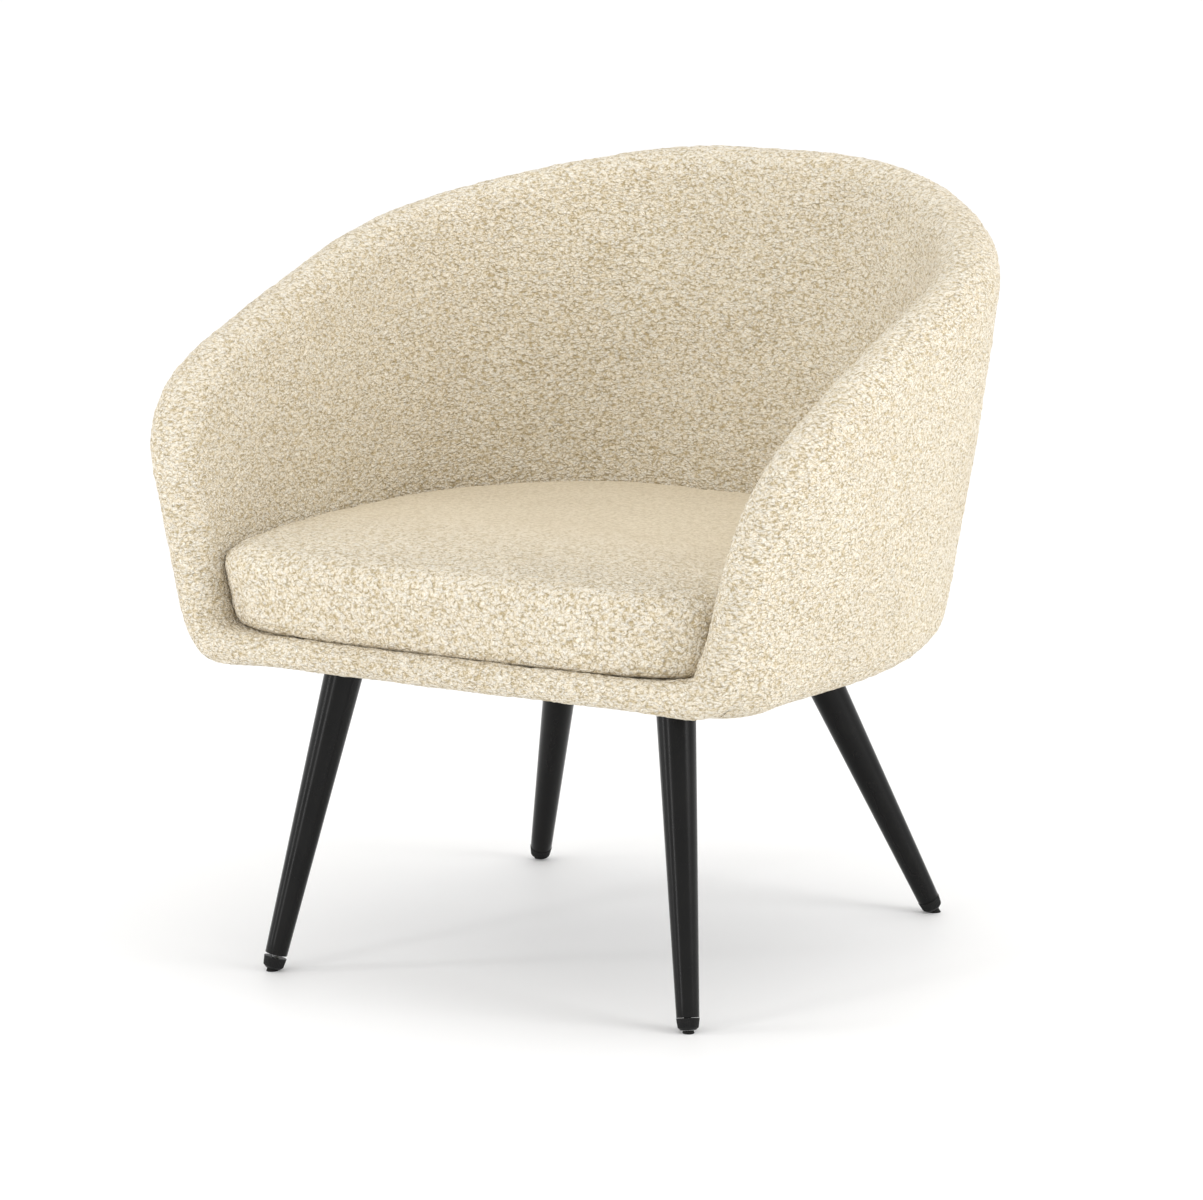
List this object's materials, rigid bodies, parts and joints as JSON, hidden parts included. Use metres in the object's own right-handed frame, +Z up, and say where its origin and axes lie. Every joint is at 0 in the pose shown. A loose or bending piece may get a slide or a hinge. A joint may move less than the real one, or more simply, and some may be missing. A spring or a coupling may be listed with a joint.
{
  "type": "tub armchair",
  "caption": "Padded tub armchair with a wraparound back, a loose seat cushion and splayed tapered steel legs that end in screw levelling glides.",
  "frame": {"origin": "on the floor, under the middle of the chair's width and depth", "axes": "+Z up, -Y the way the chair faces, +X to the right seen from the front"},
  "size_m": [0.7116, 0.6904, 0.7203],
  "materials": {
    "boucle": "looped wool-look boucle, matt and deep",
    "foam": "open-cell upholstery foam",
    "plywood": "sanded birch plywood",
    "hardwood": "planed hardwood",
    "webbing": "woven elastic webbing",
    "black_cloth": "black non-woven cloth",
    "felt": "grey needled felt",
    "zip": "cream coil zip tape",
    "leg_steel": "satin black powder coat",
    "plastic": "matt black moulded plastic",
    "rubber": "black rubber",
    "zinc": "bright zinc-plated steel"
  },
  "bodies": {
    "root": {"outer_cover": "boucle", "inner_cover": "boucle", "shell_foam": "foam", "plywood_shell": "plywood", "back_rail": "hardwood", "side_rail_left": "hardwood", "side_rail_right": "hardwood", "front_rail": "hardwood", "front_leg_rail": "hardwood", "rear_leg_rail": "hardwood", "deck_cloth": "black_cloth", "dust_cover": "black_cloth", "deck_pad": "felt", "webbing_cross_1": "webbing", "webbing_long_1": "webbing", "webbing_cross_2": "webbing", "webbing_long_2": "webbing", "webbing_cross_3": "webbing", "webbing_long_3": "webbing", "leg_tube_front_left": "leg_steel", "leg_plate_front_left": "leg_steel", "leg_insert_front_left": "plastic", "leg_screw_front_left_1": "zinc", "leg_screw_front_left_2": "zinc", "leg_screw_front_left_3": "zinc", "leg_tube_front_right": "leg_steel", "leg_plate_front_right": "leg_steel", "leg_insert_front_right": "plastic", "leg_screw_front_right_1": "zinc", "leg_screw_front_right_2": "zinc", "leg_screw_front_right_3": "zinc", "leg_tube_rear_left": "leg_steel", "leg_plate_rear_left": "leg_steel", "leg_insert_rear_left": "plastic", "leg_screw_rear_left_1": "zinc", "leg_screw_rear_left_2": "zinc", "leg_screw_rear_left_3": "zinc", "leg_tube_rear_right": "leg_steel", "leg_plate_rear_right": "leg_steel", "leg_insert_rear_right": "plastic", "leg_screw_rear_right_1": "zinc", "leg_screw_rear_right_2": "zinc", "leg_screw_rear_right_3": "zinc"},
    "seat_cushion": {"cushion_cover": "boucle", "cushion_foam": "foam", "cushion_zip": "zip"},
    "front_left_pad": {"glide_pad_front_left": "rubber"},
    "front_left_glide": {"glide_cap_front_left": "plastic", "glide_stud_front_left": "zinc"},
    "front_right_pad": {"glide_pad_front_right": "rubber"},
    "front_right_glide": {"glide_cap_front_right": "plastic", "glide_stud_front_right": "zinc"},
    "rear_left_pad": {"glide_pad_rear_left": "rubber"},
    "rear_left_glide": {"glide_cap_rear_left": "plastic", "glide_stud_rear_left": "zinc"},
    "rear_right_pad": {"glide_pad_rear_right": "rubber"},
    "rear_right_glide": {"glide_cap_rear_right": "plastic", "glide_stud_rear_right": "zinc"}
  },
  "joints": [
    {"name": "seat_cushion_lift", "type": "slide", "parent": "root", "child": "seat_cushion", "axis": [0, 0, 1], "range_m": [0, 0.4]},
    {"name": "front_left_pad_travel", "type": "slide", "parent": "root", "child": "front_left_pad", "axis": [-0.1575, -0.203, -0.9664], "range_m": [-0.0025, 0.01]},
    {"name": "front_left_glide_turn", "type": "hinge", "parent": "front_left_pad", "child": "front_left_glide", "pos_m": [-0.222, -0.2775, 0], "axis": [-0.1575, -0.203, -0.9664], "range_deg": [-720, 2880]},
    {"name": "front_right_pad_travel", "type": "slide", "parent": "root", "child": "front_right_pad", "axis": [0.1575, -0.203, -0.9664], "range_m": [0, 0.0125]},
    {"name": "front_right_glide_turn", "type": "hinge", "parent": "front_right_pad", "child": "front_right_glide", "pos_m": [0.222, -0.2775, 0], "axis": [0.1575, -0.203, -0.9664], "range_deg": [0, 3600]},
    {"name": "rear_left_pad_travel", "type": "slide", "parent": "root", "child": "rear_left_pad", "axis": [-0.2961, 0.3275, -0.8973], "range_m": [0, 0.0125]},
    {"name": "rear_left_glide_turn", "type": "hinge", "parent": "rear_left_pad", "child": "rear_left_glide", "pos_m": [-0.221, 0.2235, 0], "axis": [-0.2961, 0.3275, -0.8973], "range_deg": [0, 3600]},
    {"name": "rear_right_pad_travel", "type": "slide", "parent": "root", "child": "rear_right_pad", "axis": [0.2961, 0.3275, -0.8973], "range_m": [0, 0.0125]},
    {"name": "rear_right_glide_turn", "type": "hinge", "parent": "rear_right_pad", "child": "rear_right_glide", "pos_m": [0.221, 0.2235, 0], "axis": [0.2961, 0.3275, -0.8973], "range_deg": [0, 3600]}
  ],
  "couplings": [
    {"joint": "front_left_pad_travel", "follows": "front_left_glide_turn", "m_per_rad": 0.00019894},
    {"joint": "front_right_pad_travel", "follows": "front_right_glide_turn", "m_per_rad": 0.00019894},
    {"joint": "rear_left_pad_travel", "follows": "rear_left_glide_turn", "m_per_rad": 0.00019894},
    {"joint": "rear_right_pad_travel", "follows": "rear_right_glide_turn", "m_per_rad": 0.00019894}
  ]
}
